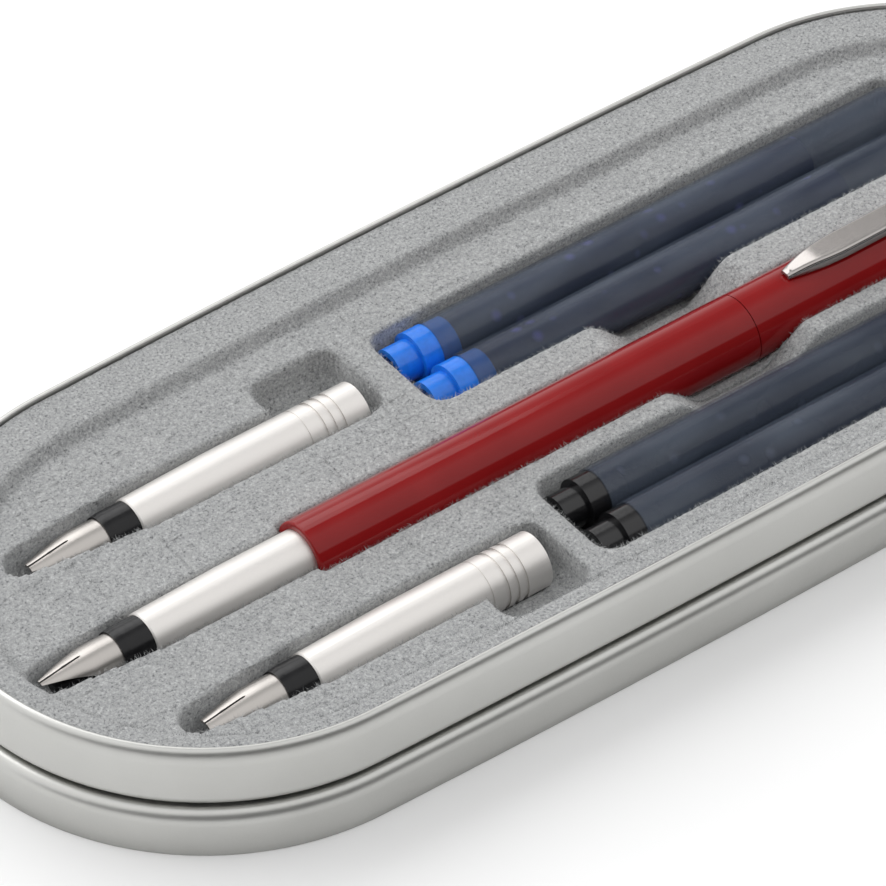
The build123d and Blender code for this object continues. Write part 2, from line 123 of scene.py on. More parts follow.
# ---- Materials ----
class Look:
    """One node material, with short ways to add grain, colour change and relief."""

    def __init__(self, name, **sockets):
        self.material = bpy.data.materials.new(name)
        self.material.use_nodes = True
        self.tree = self.material.node_tree
        self.shader = self.tree.nodes["Principled BSDF"]
        self.place = self.tree.nodes.new("ShaderNodeTexCoord").outputs["Object"]
        for socket, value in sockets.items():
            self.shader.inputs[socket.replace("_", " ")].default_value = value

    def node(self, kind, **values):
        made = self.tree.nodes.new(kind)
        for key, value in values.items():
            if key in made.inputs:
                made.inputs[key].default_value = value
            else:
                setattr(made, key, value)
        return made

    def link(self, source, target):
        self.tree.links.new(source, target)

    def stretched(self, scale):
        """Object coordinates scaled differently along each axis."""
        mapping = self.node("ShaderNodeMapping")
        mapping.inputs["Scale"].default_value = scale
        self.link(self.place, mapping.inputs["Vector"])
        return mapping.outputs["Vector"]

    def noise(self, size, detail=2.0, roughness=0.5, scale=(1, 1, 1)):
        """Noise whose blobs are about size metres across."""
        made = self.node("ShaderNodeTexNoise", Scale=1 / size, Detail=detail, Roughness=roughness)
        self.link(self.stretched(scale), made.inputs["Vector"])
        return made.outputs["Fac"]

    def ramp(self, source, *stops):
        """Colour ramp through (position, colour) stops."""
        made = self.node("ShaderNodeValToRGB")
        elements = made.color_ramp.elements
        while len(elements) < len(stops):
            elements.new(0.5)
        for element, (position, colour) in zip(elements, stops):
            element.position = position
            element.color = (*colour, 1)
        self.link(source, made.inputs["Fac"])
        return made.outputs["Color"]

    def span(self, source, low, high, start=0.3, end=0.7):
        """Value that runs from low to high as source runs from start to end."""
        made = self.node("ShaderNodeMapRange")
        for socket, value in (("From Min", start), ("From Max", end), ("To Min", low), ("To Max", high)):
            made.inputs[socket].default_value = value
        self.link(source, made.inputs["Value"])
        return made.outputs["Result"]

    def mix(self, fac, first, second, blend="MIX"):
        made = self.node("ShaderNodeMix", data_type="RGBA", blend_type=blend)
        for socket, value in ((0, fac), (6, first), (7, second)):
            if hasattr(value, "is_output"):
                self.link(value, made.inputs[socket])
            else:
                made.inputs[socket].default_value = value
        return made.outputs[2]

    def drive(self, socket, source):
        self.link(source, self.shader.inputs[socket])

    def relief(self, source, depth, strength=1.0, under=None):
        """Bump from source, depth metres deep, on top of an earlier bump."""
        bump = self.node("ShaderNodeBump", Strength=strength, Distance=depth)
        self.link(source, bump.inputs["Height"])
        if under:
            self.link(under, bump.inputs["Normal"])
        self.drive("Normal", bump.outputs["Normal"])
        return bump.outputs["Normal"]


def tin_look():
    """Satin nickel-plated tinplate with faint rolling grain and handling marks."""
    look = Look("tin_satin", Metallic=1.0)
    cloud = look.noise(22 * MM, detail=4)
    look.drive("Base Color", look.ramp(cloud, (0.3, (0.54, 0.54, 0.52)), (0.7, (0.60, 0.60, 0.58))))
    fine = look.noise(0.25 * MM, detail=3)
    look.drive("Roughness", look.span(fine, 0.33, 0.41))
    look.relief(fine, 0.004 * MM, 0.6)
    return look.material


def flock_look():
    """Grey flocking: mixed light and dark fibres over a slightly cloudy ground."""
    look = Look("flock_grey", Roughness=0.95, Sheen_Weight=0.25, Sheen_Roughness=0.6)
    look.shader.inputs["Specular IOR Level"].default_value = 0.15
    speck = look.noise(0.34 * MM, detail=3, roughness=0.8)
    ground = look.ramp(
        speck,
        (0.33, (0.04, 0.042, 0.048)),
        (0.41, (0.27, 0.276, 0.28)),
        (0.55, (0.37, 0.375, 0.375)),
        (0.70, (0.60, 0.61, 0.61)),
    )
    cloud = look.noise(5 * MM, detail=3)
    soft = look.ramp(cloud, (0.3, (0.28, 0.286, 0.29)), (0.7, (0.37, 0.374, 0.374)))
    look.drive("Base Color", look.mix(0.2, ground, soft))
    coarse = look.relief(look.noise(0.9 * MM, detail=2), 0.12 * MM, 0.5)
    look.relief(speck, 0.14 * MM, 0.85, under=coarse)
    return look.material


def fibre_look():
    """Single flock fibres, each its own grey."""
    look = Look("flock_fibre", Roughness=0.9)
    look.shader.inputs["Specular IOR Level"].default_value = 0.15
    island = look.node("ShaderNodeNewGeometry").outputs["Random Per Island"]
    greys = (
        (0.0, (0.10, 0.105, 0.11)),
        (0.25, (0.30, 0.305, 0.31)),
        (0.7, (0.42, 0.43, 0.43)),
        (1.0, (0.75, 0.76, 0.76)),
    )
    look.drive("Base Color", look.ramp(island, *greys))
    return look.material


def lacquer_look():
    """Deep red lacquer on metal, smooth, with a trace of orange peel."""
    look = Look("red_lacquer", Roughness=0.09, Coat_Weight=0.08, Coat_Roughness=0.03)
    look.shader.inputs["Specular IOR Level"].default_value = 0.22
    cloud = look.noise(6 * MM, detail=3)
    look.drive("Base Color", look.ramp(cloud, (0.3, (0.225, 0.006, 0.007)), (0.7, (0.25, 0.008, 0.009))))
    look.relief(look.noise(1.3 * MM, detail=1), 0.002 * MM, 0.4)
    return look.material


def steel_look(name, colour, roughness, along=(1, 12, 12)):
    """Fine-brushed steel with its grain along X."""
    look = Look(name, Metallic=1.0)
    grain = look.noise(0.5 * MM, detail=4, roughness=0.6, scale=along)
    darker = tuple(0.93 * channel for channel in colour)
    look.drive("Base Color", look.ramp(grain, (0.3, darker), (0.7, colour)))
    look.drive("Roughness", look.span(grain, roughness * 0.85, roughness * 1.15))
    look.relief(grain, 0.003 * MM, 0.5)
    return look.material


def plastic_look(name, colour, roughness, **sockets):
    """Moulded plastic with a faint mottled skin."""
    look = Look(name, **sockets)
    skin = look.noise(0.8 * MM, detail=3)
    darker = tuple(0.85 * channel for channel in colour)
    look.drive("Base Color", look.ramp(skin, (0.3, darker), (0.7, colour)))
    look.drive("Roughness", look.span(skin, roughness * 0.8, roughness * 1.2))
    look.relief(skin, 0.01 * MM, 0.4)
    return look.material


def tube_look():
    """Clear blow-moulded plastic, faintly milky, over the ink."""
    look = Look("cartridge_clear", Roughness=0.16, Alpha=0.34)
    look.shader.inputs["Specular IOR Level"].default_value = 0.35
    streak = look.noise(3 * MM, detail=2, scale=(0.2, 1, 1))
    look.drive("Base Color", look.ramp(streak, (0.35, (0.055, 0.07, 0.105)), (0.65, (0.11, 0.135, 0.18))))
    look.relief(look.noise(6 * MM, detail=1, scale=(0.3, 1, 1)), 0.015 * MM, 0.3)
    return look.material


def ink_look(name, dark, light):
    """Ink seen through its cartridge, with small bubbles of a paler tone."""
    look = Look(name, Roughness=0.25)
    cells = look.node("ShaderNodeTexVoronoi", Scale=1 / (3.4 * MM))
    look.link(look.place, cells.inputs["Vector"])
    dots = look.span(cells.outputs["Distance"], 0.9, 0.0, 0.05, 0.26)
    film = look.noise(7 * MM, detail=2)
    ground = look.ramp(film, (0.35, dark), (0.65, tuple(1.5 * channel for channel in dark)))
    look.drive("Base Color", look.mix(dots, ground, (*light, 1)))
    return look.material


TIN = tin_look()
FLOCK = flock_look()
FIBRE = fibre_look()
LACQUER = lacquer_look()
SECTION_STEEL = steel_look("section_steel", (0.78, 0.755, 0.73), 0.47)
NIB_STEEL = steel_look("nib_steel", (0.49, 0.465, 0.44), 0.32)
CLIP_STEEL = steel_look("clip_steel", (0.42, 0.395, 0.38), 0.2)
BLACK = plastic_look("black_plastic", (0.008, 0.008, 0.009), 0.22, Specular_IOR_Level=0.3)
GREY = plastic_look("grey_plastic", (0.09, 0.09, 0.095), 0.5)
SEAL = plastic_look("seal_plastic", (0.6, 0.62, 0.65), 0.4)
BLUE_MOUTH = plastic_look("blue_mouth", (0.012, 0.19, 0.80), 0.2, Subsurface_Weight=0.1)
BLACK_MOUTH = plastic_look("black_mouth", (0.008, 0.008, 0.009), 0.18)
TUBE = tube_look()
BLUE_INK = ink_look("blue_ink", (0.010, 0.012, 0.036), (0.13, 0.12, 0.46))
BLACK_INK = ink_look("black_ink", (0.010, 0.012, 0.018), (0.10, 0.11, 0.17))

LOOK_OF_SLOT = {
    "tin_lid": TIN,
    "tin_base": TIN,
    "flock": FLOCK,
    "red_lacquer": LACQUER,
    "clip_steel": CLIP_STEEL,
    "section_steel": SECTION_STEEL,
    "nib_steel": NIB_STEEL,
    "black_plastic": BLACK,
    "grey_plastic": GREY,
    "cartridge_tube": TUBE,
    "blue_mouth": BLUE_MOUTH,
    "black_mouth": BLACK_MOUTH,
    "seal_plastic": SEAL,
    "blue_ink": BLUE_INK,
    "black_ink": BLACK_INK,
}
slot_of_node = {row["node"]: row["material_slot"] for row in frame["record"]["subparts"]}
for node, thing in frame["nodes"].items():
    for material_slot in thing.material_slots:
        material_slot.material = LOOK_OF_SLOT[slot_of_node[node]]


# ---- Mesh helpers ----
def piece(name, vertices, faces, body, look, replaces=(), sharp=35):
    """New mesh piece that rides on a body."""
    mesh = bpy.data.meshes.new(name)
    mesh.from_pydata([tuple(v) for v in vertices], [], faces)
    mesh.validate()
    shaped = bmesh.new()
    shaped.from_mesh(mesh)
    bmesh.ops.recalc_face_normals(shaped, faces=shaped.faces)
    shaped.to_mesh(mesh)
    shaped.free()
    mesh.shade_smooth()
    mesh.set_sharp_from_angle(angle=radians(sharp))
    mesh.materials.append(look)
    made = bpy.data.objects.new(name, mesh)
    bpy.context.scene.collection.objects.link(made)
    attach(made, body)
    if replaces:
        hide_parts(*replaces)
    return made


def arc(centre, radius, start, end, steps=8):
    """Points of an arc from start to end degrees; radius may be a pair of half-axes."""
    wide, tall = radius if isinstance(radius, tuple) else (radius, radius)
    angles = [radians(start + (end - start) * step / steps) for step in range(steps + 1)]
    return [(centre[0] + wide * cos(a), centre[1] + tall * sin(a)) for a in angles]


def smooth_step(value, start, end):
    """0 below start, 1 above end, eased between them."""
    part = np.clip((value - start) / (end - start), 0, 1)
    return part * part * (3 - 2 * part)


# ---- Tin outline: two shallow side arcs and two end arcs ----
base_low, base_high = corners("base_shell")
lid_low, lid_high = corners("lid_shell")
HALF_LENGTH = (base_high.x - base_low.x) / 2
HALF_WIDTH = 34.0 * MM


def outline(half_length, half_width, bow, inset, end_steps=72, side_steps=36):
    """Points round the tin's outline, moved in by inset."""
    end_radius = (2 * bow * half_width - half_length**2 - half_width**2) / (2 * (bow - half_length))
    end_x = half_length - end_radius
    lean = asin(end_x / (bow - end_radius))
    points = []
    for side in (1, -1):
        for step in range(end_steps):
            angle = -pi / 2 + lean + (pi - 2 * lean) * step / end_steps
            turn = angle if side == 1 else angle + pi
            points.append((side * end_x + (end_radius - inset) * cos(turn), (end_radius - inset) * sin(turn)))
        for step in range(side_steps):
            slant = lean - 2 * lean * step / side_steps
            x = (bow - inset) * sin(slant)
            y = half_width - bow + (bow - inset) * cos(slant)
            points.append((side * x, side * y))
    return points


def swept(name, profile, body, look, replaces, floors):
    """Shell swept round the tin's outline from closed (inset, z) points.

    floors holds the index pairs of profile points whose rings are closed by a flat face."""
    rings = [outline(HALF_LENGTH, HALF_WIDTH, SIDE_BOW, inset) for inset, _ in profile]
    count = len(rings[0])
    vertices = [(x, y, z) for ring, (_, z) in zip(rings, profile) for x, y in ring]
    faces = []
    for row in range(len(profile) - 1):
        for step in range(count):
            right = (step + 1) % count
            faces.append(
                (row * count + step, row * count + right, (row + 1) * count + right, (row + 1) * count + step)
            )
    for row in floors:
        faces.append(tuple(range(row * count, (row + 1) * count)))
    return piece(name, vertices, faces, body, look, replaces, sharp=40)


# Base: floor, rounded corner, wall, rolled rim, then back down inside
z0, z1 = base_low.z, base_high.z
ring = z0 + BASE_FOOT_HEIGHT
inner_corner = BASE_CORNER - BASE_SHEET
base_profile = [(BASE_FOOT, z0), (BASE_FOOT, ring)]
base_profile += arc((BASE_CORNER, ring + BASE_CORNER), BASE_CORNER, 270, 180, 14)
base_profile += arc((RIM_BEAD[0], z1 - RIM_BEAD[1]), RIM_BEAD, 180, 90, 16)
base_profile += arc((RIM_WIDTH - RIM_FILLET, z1 - RIM_FILLET), RIM_FILLET, 90, 0, 4)
base_profile += arc((RIM_WIDTH - RIM_HEM, z1 - RIM_WIDTH + RIM_HEM), RIM_HEM, 0, -90, 4)
base_profile += [(BASE_SHEET, z1 - RIM_WIDTH)]
base_profile += arc((BASE_CORNER, ring + BASE_CORNER), inner_corner, 180, 270, 8)
base_profile += [(BASE_FOOT + BASE_SHEET, ring + BASE_SHEET), (BASE_FOOT + BASE_SHEET, z0 + BASE_SHEET)]
swept("tin_base", base_profile, "base", TIN, ("base_shell",), (0, len(base_profile) - 1))

# Lid, upside up: its mouth is on the floor and its top carries the base
lid_outset = HALF_LENGTH - (lid_high.x - lid_low.x) / 2
top = lid_high.z
inner = tuple(half - LID_SHEET for half in LID_SHOULDER)
shoulder_centre = (lid_outset + LID_SHOULDER[0], top - LID_SHOULDER[1])
lid_profile = arc(shoulder_centre, LID_SHOULDER, 90, 180, 14)
lid_profile += [(lid_outset, 0.12 * MM), (lid_outset + 0.1 * MM, 0), (lid_outset + 0.2 * MM, 0)]
lid_profile += [(lid_outset + LID_SHEET, 0.12 * MM)]
lid_profile += arc(shoulder_centre, inner, 180, 90, 8)
swept("tin_lid", lid_profile, "lid", TIN, ("lid_shell",), (0, len(lid_profile) - 1))


# ---- Nibs: bent steel, a full half-round at the collar, flattened towards a cut tip ----
NIB_RADIUS = 2.62 * MM
NIB_SHEET = 0.3 * MM
NIB_SHOULDER = 0.62
NIB_SLIT = 0.56
NIB_TIP_RISE = 1.6 * MM
SHOULDER_SHARE = 0.93
COLLAR_SHARE = 0.985
TIP_WRAP = 34
SHOULDER_WRAP = 68
COLLAR_WRAP = 80
SLIT_WIDTH = 0.24 * MM


def make_nib(prefix, tip_width):
    """Nib from its packed box: two leaves that meet behind the slit."""
    low, high = corners(f"{prefix}_nib")
    collar_low, _ = corners(f"{prefix}_collar")
    sleeve_low, sleeve_high = corners(f"{prefix}_sleeve")
    axis_y = (sleeve_low.y + sleeve_high.y) / 2
    axis_z = (sleeve_low.z + sleeve_high.z) / 2
    shown = collar_low.x - low.x
    crown_high = high.z - axis_z
    rows, columns = 48, 14
    vertices, faces = [], []
    shares = [column / columns for column in range(columns + 1)]
    for row in range(rows + 1):
        part = row / rows
        x = low.x + part * (high.x - low.x)
        along = min((x - low.x) / shown, 1)
        if along < NIB_SHOULDER:
            grow = along / NIB_SHOULDER
            half = tip_width / 2 + (NIB_RADIUS * SHOULDER_SHARE - tip_width / 2) * grow
            wrap = radians(TIP_WRAP + (SHOULDER_WRAP - TIP_WRAP) * grow)
        else:
            grow = (along - NIB_SHOULDER) / (1 - NIB_SHOULDER)
            half = NIB_RADIUS * (SHOULDER_SHARE + (COLLAR_SHARE - SHOULDER_SHARE) * grow)
            wrap = radians(SHOULDER_WRAP + (COLLAR_WRAP - SHOULDER_WRAP) * grow)
        crown_part = sin(min(along * 1.25, 1) * pi / 2) ** 1.2
        rise = NIB_TIP_RISE + (crown_high - NIB_TIP_RISE) * crown_part
        radius = half / sin(wrap)
        gap = SLIT_WIDTH / 2 if along < NIB_SLIT else 0
        for depth in (0, NIB_SHEET):
            for side in (-1, 1):
                for share in shares:
                    angle = wrap * share
                    y = max((radius - depth) * sin(angle), gap)
                    z = rise - radius + (radius - depth) * cos(angle)
                    vertices.append((x, axis_y + side * y, axis_z + z))
    leaf = columns + 1
    per_row = 4 * leaf
    for row in range(rows):
        for layer in range(4):
            for column in range(columns):
                first = row * per_row + layer * leaf + column
                faces.append((first, first + 1, first + 1 + per_row, first + per_row))
        for side in (0, 1):
            for column in (0, columns):
                outer = row * per_row + side * leaf + column
                inside = outer + 2 * leaf
                faces.append((outer, outer + per_row, inside + per_row, inside))
    for row in (0, rows):
        for side in (0, 1):
            for column in range(columns):
                outer = row * per_row + side * leaf + column
                inside = outer + 2 * leaf
                faces.append((outer, outer + 1, inside + 1, inside))
    body = "pen_section" if prefix == "pen" else f"{prefix}_spare"
    name = f"{prefix}_nib_bent"
    piece(name, vertices, faces, body, NIB_STEEL, (f"{prefix}_nib",), sharp=50)


for prefix, tip_width in (("pen", 0.9 * MM), ("far", 1.5 * MM), ("near", 1.9 * MM)):
    make_nib(prefix, tip_width)


# ---- Clip: a folded strip with rounded shoulders, tapered to its tip ----
CLIP_SHEET = 0.35 * MM
CLIP_SKIRT = 1.25 * MM
CLIP_NOSE = 4.4 * MM
CLIP_TAPER = 8.8 * MM
CLIP_EDGE = 0.45 * MM
CLIP_TIP_WIDTH = 1.5 * MM
CLIP_GAP = 0.14 * MM
CLIP_TIP_RISE = 0.7 * MM
CLIP_NOSE_RISE = 0.7 * MM
CLIP_ROOT_RISE = 0.5 * MM
CLIP_RUNOUT = 2 * MM
CLIP_CROWN = 0.01 * MM
CLIP_STATIONS = 60


def clip_section(x, low, high, cap_top):
    """Outer half-width, top and skirt bottom of the clip at x."""
    from_tip = x - low.x
    half_root = (high.y - low.y) / 2
    taper = min(from_tip / CLIP_TAPER, 1)
    half = CLIP_TIP_WIDTH / 2 + (half_root - CLIP_TIP_WIDTH / 2) * sin(taper * pi / 2)
    nose = min(from_tip / CLIP_NOSE, 1)
    slope = from_tip / (high.x - low.x)
    crown = cap_top + CLIP_TIP_RISE + CLIP_NOSE_RISE * sin(nose * pi / 2) + CLIP_ROOT_RISE * slope
    drop = float(smooth_step(from_tip, CLIP_NOSE, CLIP_NOSE + CLIP_RUNOUT))
    lowest = cap_top + CLIP_GAP
    bottom = lowest + drop * (crown - CLIP_SKIRT - lowest)
    return half, min(crown, high.z), max(bottom, lowest)


def clip_line(half, top, bottom, edge):
    """Points (y, z) across the clip: skirt, bend, flat, bend, skirt."""
    turns = (0, 0.4, 0.8, 1.2, pi / 2)
    bend = [(half - edge + edge * sin(turn), top - edge + edge * cos(turn)) for turn in turns]
    skirt = [(half, (top - edge + bottom) / 2), (half, bottom)]
    far_side = [(half * 0.45, top + CLIP_CROWN), *bend, *skirt]
    return [(-y, z) for y, z in reversed(far_side)] + far_side


def make_clip():
    """Clip from its packed box: an outer and an inner skin, joined round their edges."""
    low, high = corners("cap_clip")
    cap_top = corners("cap_shell")[1].z
    middle = (low.y + high.y) / 2
    shares = [(step / CLIP_STATIONS) ** 1.5 for step in range(CLIP_STATIONS + 1)]
    stations = [low.x + (high.x - low.x) * share for share in shares]
    vertices, faces = [], []
    for x in stations:
        half, crown, bottom = clip_section(x, low, high, cap_top)
        for sheet in (0, CLIP_SHEET):
            line = clip_line(half - sheet, crown - sheet, bottom, CLIP_EDGE - sheet)
            vertices += [(x, middle + y, z) for y, z in line]
    points = len(vertices) // len(stations) // 2
    row_size = 2 * points
    for row in range(len(stations) - 1):
        for sheet in (0, points):
            for step in range(points - 1):
                first = row * row_size + sheet + step
                faces.append((first, first + 1, first + 1 + row_size, first + row_size))
        for step in (0, points - 1):
            first = row * row_size + step
            faces.append((first, first + row_size, first + row_size + points, first + points))
    for row in (0, len(stations) - 1):
        for step in range(points - 1):
            first = row * row_size + step
            faces.append((first, first + 1, first + 1 + points, first + points))
    name = "cap_clip_folded"
    piece(name, vertices, faces, "clip", CLIP_STEEL, ("cap_clip",), sharp=45)


make_clip()

# ---- Tray: one formed flocked sheet, drawn as a height over a grid ----
tray_low, tray_high = corners("tray")
trough_floor = tray_low.z + TRAY_SHEET


def stadium_depth(x, y, half_length, half_width, bow, centre_y=0.0):
    """Distance inside a bowed stadium outline, negative outside it."""
    end_radius = (2 * bow * half_width - half_length**2 - half_width**2) / (2 * (bow - half_length))
    end_x = half_length - end_radius
    lean = asin(end_x / (bow - end_radius))
    ax, ay = np.abs(x), np.abs(y - centre_y)
    from_end = end_radius - np.hypot(ax - end_x, ay)
    from_side = bow - np.hypot(ax, ay + bow - half_width)
    beyond = np.arctan2(ax, ay + bow - half_width) > lean
    return np.where(beyond & (ax > end_x), from_end, from_side)


def nose_depth(x, y, x_low, x_high, axis_y, low_halves, high_half):
    """Distance inside a strip that widens from a rounded nose, negative outside it.

    low_halves holds the nose's half-width on the near side and on the far side."""
    part = np.clip((x - x_low) / (x_high - x_low), 0, 1)
    low_half = np.where(y < axis_y, *low_halves)
    half = low_half + (high_half - low_half) * part
    nose = np.clip((x - x_low) / low_half, 0, 1)
    half = half * np.sqrt(1 - (1 - nose) ** 2)
    depth = half - np.abs(y - axis_y)
    depth = np.where(x < x_low, np.minimum(depth, x - x_low), depth)
    return np.where(x > x_high, np.minimum(depth, x_high - x), depth)


def rounded_box_depth(x, y, x_low, x_high, y_low, y_high, corner):
    """Distance inside a rounded rectangle, negative outside it."""
    dx = np.abs(x - (x_low + x_high) / 2) - (x_high - x_low) / 2 + corner
    dy = np.abs(y - (y_low + y_high) / 2) - (y_high - y_low) / 2 + corner
    outside = np.hypot(np.maximum(dx, 0), np.maximum(dy, 0))
    return corner - outside - np.minimum(np.maximum(dx, dy), 0)


def rolled_edge(depth, floor, surface, edge=TROUGH_EDGE):
    """Height of a hollow: its floor inside the wall, a rounded shoulder outside it."""
    out = np.clip(-depth, 0, edge)
    shoulder = surface - (edge - np.sqrt(np.maximum(edge**2 - (edge - out) ** 2, 0)))
    return np.where(depth > 0, floor, np.where(-depth < edge, shoulder, surface))


def bowl_floor(depth, floor, radius):
    """Flat floor with a fillet where it meets the wall."""
    near = np.clip(depth, 0, radius)
    return floor + radius - np.sqrt(np.maximum(radius**2 - (radius - near) ** 2, 0))


# Each half-round trough: its nose round a nib, then its stretches along X, with the axis
noses, troughs = [], []
for prefix in ("pen", "far", "near"):
    sleeve_low, sleeve_high = corners(f"{prefix}_sleeve")
    nib_low, _ = corners(f"{prefix}_nib")
    radius = (sleeve_high.y - sleeve_low.y) / 2 + FIT
    axis_y = (sleeve_high.y + sleeve_low.y) / 2
    axis_z = (sleeve_high.z + sleeve_low.z) / 2
    nose_x = nib_low.x - NOSE_GAP[prefix]
    noses.append((nose_x, sleeve_low.x, axis_y, axis_z, NIB_TROUGH[prefix], radius))
    troughs.append((sleeve_low.x - FIT, sleeve_high.x + FIT, axis_y, axis_z, radius))
barrel_low, barrel_high = corners("pen_barrel")
plug_high = corners("cap_plug")[1]
pen_y = (barrel_low.y + barrel_high.y) / 2
pen_z = (barrel_low.z + barrel_high.z) / 2
pen_radius = (barrel_high.y - barrel_low.y) / 2
troughs.append((barrel_low.x - FIT, plug_high.x + CAP_ROOM, pen_y, pen_z, pen_radius + FIT))

# Flat-floored hollows: cartridge pairs, then the pocket beside each spare's rear
flats = []
for colour in ("blue", "black"):
    mouth_low, _ = corners(f"near_{colour}_mouth")
    near_low, near_high = corners(f"near_{colour}_tube")
    _, far_high = corners(f"far_{colour}_tube")
    x_edges = (mouth_low.x - CARTRIDGE_END_GAP, near_high.x + CARTRIDGE_END_GAP)
    y_edges = (near_low.y - FIT, far_high.y + FIT)
    flats.append((*x_edges, *y_edges, trough_floor, HOLLOW_CORNER, CARTRIDGE_FILLET))
for prefix, outward in (("far", 1), ("near", -1)):
    sleeve_low, sleeve_high = corners(f"{prefix}_sleeve")
    inner_y = sleeve_low.y if outward > 0 else sleeve_high.y
    outer_y = (sleeve_high.y if outward > 0 else sleeve_low.y) + outward * POCKET_REACH
    x_end = sleeve_high.x + POCKET_OVERRUN
    y_edges = sorted((inner_y, outer_y))
    pocket_floor = tray_high.z + TRAY_LIP_DROP - POCKET_DROP
    x_edges = (x_end - POCKET_LENGTH, x_end)
    flats.append((*x_edges, *y_edges, pocket_floor, HOLLOW_CORNER, POCKET_FILLET))


def tray_height(x, y):
    """Height of the flocked surface over the plan point (x, y)."""
    field_bow = SIDE_BOW - HALF_WIDTH + FIELD_HALF[1]
    inside = stadium_depth(x, y, *FIELD_HALF, field_bow, FIELD_CENTRE_Y)
    surface = tray_high.z - FIELD_DROP * smooth_step(inside, -FIELD_SLOPE, FIELD_SLOPE)
    ramp = smooth_step(x, SCOOP_X[0], SCOOP_X[0] + SCOOP_RUN)
    ramp *= 1 - smooth_step(x, SCOOP_X[1] - SCOOP_RUN, SCOOP_X[1])
    near_edge = corners("near_black_tube")[1].y
    far_edge = corners("far_blue_tube")[0].y
    within = (y > near_edge - 3 * MM) & (y < far_edge)
    scoop = surface - ramp * (SCOOP_DROP - FIELD_DROP - TRAY_LIP_DROP) * within
    surface = np.minimum(surface, scoop)
    height = surface.copy()
    for x_low, x_high, axis_y, axis_z, low_half, high_half in noses:
        depth = nose_depth(x, y, x_low, x_high, axis_y, low_half, high_half)
        half = np.maximum(depth + np.abs(y - axis_y), 0.01 * MM)
        across = np.clip(np.abs(y - axis_y) / half, 0, 1)
        floor = axis_z - half * np.sqrt(1 - across**2)
        edge = np.where(y < axis_y, NOSE_NEAR_EDGE, TROUGH_EDGE)
        height = np.minimum(height, rolled_edge(depth, np.minimum(floor, surface), surface, edge))
    for x_low, x_high, axis_y, axis_z, radius in troughs:
        depth = rounded_box_depth(x, y, x_low, x_high, axis_y - radius, axis_y + radius, TROUGH_CORNER)
        across = np.clip(np.abs(y - axis_y), 0, radius)
        from_end = np.minimum(x - x_low, x_high - x)
        floor = bowl_floor(from_end, axis_z - np.sqrt(radius**2 - across**2), TROUGH_END_FILLET)
        height = np.minimum(height, rolled_edge(depth, np.minimum(floor, surface), surface))
    for x_low, x_high, y_low, y_high, floor_z, corner, fillet in flats:
        depth = rounded_box_depth(x, y, x_low, x_high, y_low, y_high, corner)
        floor = bowl_floor(depth, floor_z, fillet)
        height = np.minimum(height, rolled_edge(depth, np.minimum(floor, surface), surface))
    return height


def split_lines(low, high, pitch, walls):
    """Grid lines at an even pitch, doubled at each wall so that it stands upright."""
    lines = list(np.linspace(low, high, int((high - low) / pitch) + 1))
    lines = [v for v in lines if min(abs(v - w) for w in walls) > 0.3 * pitch]
    for wall in walls:
        lines += [wall - 0.02 * MM, wall + 0.02 * MM]
    return np.array(sorted(lines))


def make_fibres(grid_x, grid_y, height, inner):
    """Short flock fibres standing off the tray, closer together on its edges and walls."""
    slope_x = np.gradient(height, axis=0) / np.maximum(np.gradient(grid_x, axis=0), 0.05 * MM)
    slope_y = np.gradient(height, axis=1) / np.maximum(np.gradient(grid_y, axis=1), 0.05 * MM)
    steep = np.hypot(slope_x, slope_y)
    weight = inner * (1 + STEEP_WEIGHT * (steep > STEEP))
    random = np.random.default_rng(11)
    picked = random.choice(weight.size, FIBRE_COUNT, p=(weight / weight.sum()).ravel())
    row, column = np.unravel_index(picked, weight.shape)
    root = np.stack([grid_x[row, column], grid_y[row, column], height[row, column]], axis=1)
    root[:, :2] += random.uniform(-FIBRE_SPREAD, FIBRE_SPREAD, (FIBRE_COUNT, 2))
    normal = np.stack([-slope_x[row, column], -slope_y[row, column], np.ones(FIBRE_COUNT)], axis=1)
    normal /= np.linalg.norm(normal, axis=1)[:, None]
    lean = normal * 0.55 + random.normal(0, 0.55, (FIBRE_COUNT, 3))
    lean[:, 2] = np.abs(lean[:, 2])
    lean /= np.linalg.norm(lean, axis=1)[:, None]
    side = np.cross(lean, random.normal(0, 1, (FIBRE_COUNT, 3)))
    side *= FIBRE_HALF_WIDTH / np.linalg.norm(side, axis=1)[:, None]
    length = random.uniform(*FIBRE_LENGTH, FIBRE_COUNT)[:, None]
    corners_of = np.stack([root - side, root + side, root + lean * length], axis=1).reshape(-1, 3)
    mesh = bpy.data.meshes.new("tray_fibres")
    triangles = np.arange(3 * FIBRE_COUNT).reshape(-1, 3)
    mesh.from_pydata(corners_of.tolist(), [], triangles.tolist())
    mesh.materials.append(FIBRE)
    made = bpy.data.objects.new("tray_fibres", mesh)
    bpy.context.scene.collection.objects.link(made)
    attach(made, "tray")


